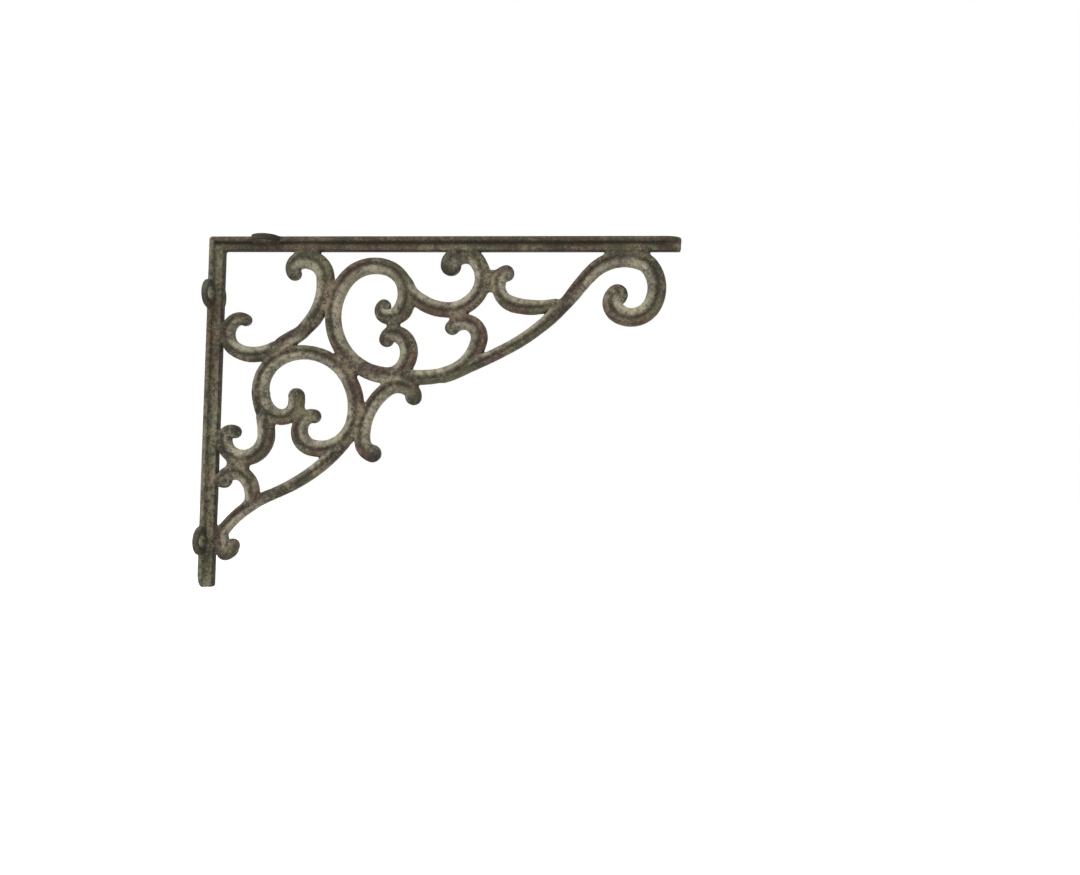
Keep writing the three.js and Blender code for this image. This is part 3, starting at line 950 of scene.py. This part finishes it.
def strand_paint(points, groove_width):
    """Three shares for each point, from the nearest strand: how much it is in the groove, how much on the
    band inside the bend, and how near an end of the strand."""
    x = (points[:, 0] - OPENING[0]) / STRETCH[0]
    z = (points[:, 2] - SHELF_Z - OPENING[1]) / STRETCH[1]
    nearest = np.full(len(points), FAR)
    shares = np.zeros((3, len(points)))
    for strand in STRANDS.values():
        distance, outward, half, to_end = strand_places(strand, x, z)
        past = distance - half
        inner = np.clip((GROOVE_PLACE - outward / half) / 0.5, 0, 1)
        tip = np.clip(1 - (to_end + np.maximum(-past, 0) * 0.3) / 7.0, 0, 1)
        groove = groove_share(outward, half, to_end, groove_width)
        near = past < nearest
        shares[:, near] = np.stack([groove, inner, tip])[:, near]
        nearest = np.where(near, past, nearest)
    return shares * np.clip(1 - nearest / 1.0, 0, 1)


def faded(values, stretch):
    """A share that rises straight from 0 at the first of four places to 1 at the second, and falls straight
    from 1 at the third to 0 at the fourth."""
    start, full, fading, gone = stretch
    return np.clip((values - start) / (full - start), 0, 1) * np.clip((gone - values) / (gone - fading), 0, 1)


def flange_share(points):
    """Two shares. The first is 1 on the wall flange, and 0.3 where that is brown; on the shelf flange it is
    -0.35 on the rib, and on the strap -0.51 near the corner, falling to -1 further out. The second is how
    brown a flange is, over a stretch of each: up to 1 on the wall flange and 0.7 on the shelf flange."""
    out, down = points[:, 0], SHELF_Z - points[:, 2]
    wall, shelf = (np.clip(RIB_TOP + 0.6 - depth, 0, 1) for depth in (out, down))
    on_wall = out < down
    strap = np.clip(FLANGE_THICKNESS + 0.8 - down, 0, 1) * np.clip((out - 30) / 90, 0.25, 1)
    brown_wall = wall * faded(down, WALL_BROWN)
    brown_shelf = shelf * faded(out, SHELF_BROWN)
    tone = np.where(on_wall, wall * (1 - 0.7 * brown_wall), -shelf * (0.35 + 0.65 * strap))
    return tone, np.where(on_wall, brown_wall, 0.7 * brown_shelf)


def contact_shadow_share(points):
    """1 where a strand runs into a rib, falling to 0 over 9 mm; 0 on the flanges themselves. It marks where shadow is
    painted beside the ribs.
    """
    out, down = points[:, 0], SHELF_Z - points[:, 2]
    depth = np.minimum(out, down) - RIB_TOP
    return np.clip(1 - depth / 9.0, 0, 1) * np.clip(depth / 0.8 + 1.2, 0, 1)


def ear_shade_and_highlight_share(points):
    """On the ears: -1 on the flat round a countersink and -0.75 on the rim, where shade is painted, and 1 in the cone,
    where a highlight is painted.
    """
    out, down, across = points[:, 0], SHELF_Z - points[:, 2], np.abs(points[:, 1])
    share = np.zeros(len(points))
    half = FLANGE_WIDTH / 2
    screws = [
        (down, out, UPPER_SCREW_DROP),
        (down, out, DROP - LOWER_SCREW_RISE),
        (out, down, SHELF_SCREW_REACH),
    ]
    for along, depth, centre in screws:
        radial = np.hypot(along - centre, across - SCREW_LINE)
        near = (depth < EAR_THICKNESS + 0.5) & (depth > 0.2)
        cone = np.clip((SCREW_HEAD / 2 - radial) / 0.8, 0, 1)
        on_top = np.clip(depth - EAR_THICKNESS + 1, 0, 1)
        flat = np.clip((EAR_RADIUS - radial) / 1.5, 0, 1) * (1 - cone) * on_top
        rim = np.clip(across - half, 0, 1) * (1 - cone) * 0.75
        on_ear = np.hypot(along - centre, across - half) < EAR_RADIUS + 1
        share += near * (cone - np.maximum(flat, rim * on_ear))
    return np.clip(share, -1, 1)


def web_share(points):
    """1 near the middle of a web between two strands, falling to 0 over the 3 mm before 0.55 of its length
    from there."""
    share = np.zeros(len(points))
    for start, end, length in web_list()[:len(STRAND_WEBS)]:
        middle = (start + end) / 2
        distance = np.hypot(points[:, 0] - middle[0], points[:, 2] - SHELF_Z - middle[1])
        share = np.maximum(share, np.clip((length * 0.55 - distance) / 3, 0, 1))
    return share


def make_casting(sizes, colours):
    """The whole casting: its field, mirrored to the far side, skinned, thinned and roughened."""
    half = casting_field(sizes)
    field = np.concatenate([half[:, :0:-1], half], 1)
    x, y, z = grid_lines()
    origin = np.array([x[0], -y[-1], z[0]])
    cell = np.array([CELL, CELL_ACROSS, CELL])
    points, quads = skin(field)
    places = (points * cell + origin + [0, 0, SHELF_Z]) * MM
    obj = bpy.data.objects.new("bracket_casting_dressed", mesh_from("bracket_casting_dressed", places, quads))
    bpy.context.scene.collection.objects.link(obj)
    thinned(obj, SKIN_LIMIT)
    mesh = obj.data
    local = coordinates(mesh) / MM - [0, 0, SHELF_Z]
    # How much iron lies round each point, as ambient occlusion: painted shade in the crevices, and soiling there.
    filled = np.clip(0.5 - field / CELL, 0, 1).astype(np.float32)
    set_attribute(mesh, "hollow_soiling_and_shade", sampled(blurred(filled, 2, 2), origin, cell, local))
    set_attribute(mesh, "web", web_share(coordinates(mesh) / MM))
    paint = strand_paint(coordinates(mesh) / MM, 1.4 * sizes.groove_width / MM)
    for name, share in zip(("groove", "inner", "tip"), paint):
        set_attribute(mesh, name, share)
    # Painted shadow where the strands run into the ribs.
    set_attribute(mesh, "contact_shadow", contact_shadow_share(coordinates(mesh) / MM))
    for name, share in zip(("flange", "brown"), flange_share(coordinates(mesh) / MM)):
        set_attribute(mesh, name, share)
    set_attribute(mesh, "socket", ear_shade_and_highlight_share(coordinates(mesh) / MM))
    roughen(mesh, sizes.roughness)
    mesh.polygons.foreach_set("use_smooth", np.ones(len(mesh.polygons), bool))
    mesh.materials.append(weathered_iron(colours))
    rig.ride(obj, "root")
    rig.replaces(obj, NODE)
    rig.slot(obj, "weathered_iron")


# The camera, from the outline of the bracket in the picture
IMAGE_WIDTH, IMAGE_HEIGHT = 1080, 875
SENSOR = 36.0  # millimetres
AIM = Vector((145.0, 0.0, -40.0)) * MM  # a point of the bracket
AIM_PIXEL = (435.74, 361.07)  # where it is in the picture
AIM_SCALE = 1.6315  # pixels to the millimetre there
AIM_DEPTH = 600.0 * MM
YAW, PITCH, ROLL = -0.1043, 0.0346, 0.0239  # radians
VIEW_END = 20.0  # metres

# The stage
FLOOR_HALF = 12.0  # metres
LIGHT_SPREAD = math.radians(50)
LIGHT_FROM = Vector((-0.45, -0.75, 0.9))


def make_camera():
    """A camera that sees AIM at AIM_PIXEL, at AIM_DEPTH along its own axis.

    Its lens is the sensor's width times the depth in pixels over the picture's width in pixels.
    """
    forward = Vector((math.sin(YAW) * math.cos(PITCH), math.cos(YAW) * math.cos(PITCH), math.sin(PITCH)))
    level = forward.cross(Vector((0, 0, 1))).normalized()
    upright = level.cross(forward)
    right = level * math.cos(ROLL) + upright * math.sin(ROLL)
    up = upright * math.cos(ROLL) - level * math.sin(ROLL)
    pixels = AIM_SCALE / MM
    aside = (AIM_PIXEL[0] - IMAGE_WIDTH / 2) / pixels
    below = (AIM_PIXEL[1] - IMAGE_HEIGHT / 2) / pixels
    data = bpy.data.cameras.new("camera")
    data.sensor_width = SENSOR
    data.lens = AIM_DEPTH * pixels / IMAGE_WIDTH * SENSOR
    data.clip_end = VIEW_END
    camera = bpy.data.objects.new("camera", data)
    camera.location = AIM - forward * AIM_DEPTH - right * aside + up * below
    camera.rotation_euler = Matrix((right, up, -forward)).transposed().to_euler()
    bpy.context.scene.collection.objects.link(camera)
    bpy.context.scene.camera = camera


def make_stage(settings):
    """A pale floor below the bracket, a white world, and one broad soft light from above on the left."""
    height = LOW.z - settings.floor_drop
    corners = ((-1, -1), (1, -1), (1, 1), (-1, 1))
    points = np.array([(FLOOR_HALF * across, FLOOR_HALF * away, height) for across, away in corners])
    floor = bpy.data.objects.new("floor", mesh_from("floor", points, np.array([[0, 1, 2, 3]])))
    floor.data.materials.append(plain("floor", settings.floor_colour))
    bpy.context.scene.collection.objects.link(floor)
    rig.stage(floor)
    world = bpy.data.worlds.new("studio")
    world.use_nodes = True
    world.node_tree.nodes["Background"].inputs["Color"].default_value = (1, 1, 1, 1)
    world.node_tree.nodes["Background"].inputs["Strength"].default_value = 1.0
    bpy.context.scene.world = world
    data = bpy.data.lights.new("softbox", "SUN")
    data.energy = settings.softbox
    data.angle = LIGHT_SPREAD
    light = bpy.data.objects.new("softbox", data)
    light.rotation_euler = LIGHT_FROM.to_track_quat("Z", "Y").to_euler()
    bpy.context.scene.collection.objects.link(light)
    bpy.context.scene.view_settings.view_transform = "Standard"


class BRACKET_OT_camera(bpy.types.Operator):
    """Places the camera where the picture was taken from"""
    bl_idname = "bracket.camera"
    bl_label = "Camera"

    def execute(self, context):
        make_camera()
        return {"FINISHED"}


class BRACKET_OT_casting(bpy.types.Operator):
    """Builds the bracket's casting with its patina, in place of the plain solid"""
    bl_idname = "bracket.casting"
    bl_label = "Casting"

    def execute(self, context):
        make_casting(context.scene.casting_sizes, context.scene.patina_colours)
        return {"FINISHED"}


class BRACKET_OT_stage(bpy.types.Operator):
    """Lays the floor and hangs the lights"""
    bl_idname = "bracket.stage"
    bl_label = "Stage"

    def execute(self, context):
        make_stage(context.scene.stage_settings)
        return {"FINISHED"}


class BRACKET_PT_panel(bpy.types.Panel):
    """Lists the bracket's sizes and colours, and the steps that build it"""
    bl_label = "Scroll Shelf Bracket"
    bl_idname = "BRACKET_PT_panel"
    bl_space_type = "VIEW_3D"
    bl_region_type = "UI"
    bl_category = "Bracket"

    def draw(self, context):
        for group, operator in PANEL_ROWS:
            box = self.layout.box()
            settings = getattr(context.scene, group) if group else None
            for key in (settings.bl_rna.properties.keys() if settings else ()):
                if key not in ("rna_type", "name"):
                    box.prop(settings, key)
            if operator:
                box.operator(operator)


PANEL_ROWS = [
    ("casting_sizes", ""),
    ("patina_colours", "bracket.casting"),
    ("stage_settings", "bracket.stage"),
    ("", "bracket.camera"),
]
GROUPS = {"casting_sizes": CastingSizes, "patina_colours": PatinaColours, "stage_settings": StageSettings}
CLASSES = [*GROUPS.values(), BRACKET_OT_camera, BRACKET_OT_casting, BRACKET_OT_stage, BRACKET_PT_panel]


def register():
    """Registers the classes, and gives the scene its groups of settings."""
    for kind in CLASSES:
        bpy.utils.register_class(kind)
    for name, kind in GROUPS.items():
        setattr(bpy.types.Scene, name, bpy.props.PointerProperty(type=kind))


def unregister():
    """Takes the groups and the classes away again."""
    for name in GROUPS:
        delattr(bpy.types.Scene, name)
    for kind in reversed(CLASSES):
        bpy.utils.unregister_class(kind)


def main():
    """Registers the classes, runs the steps in order, and writes the solid's and the dressed part's boxes."""
    register()
    bpy.ops.bracket.camera()
    bpy.ops.bracket.casting()
    bpy.ops.bracket.stage()
    low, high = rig.bounds()
    with open("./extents.json", "w") as out:
        json.dump({"cad": [list(CAD_LOW), list(CAD_HIGH)], "visual": [list(low), list(high)]}, out)


if __name__ == "__main__":
    main()
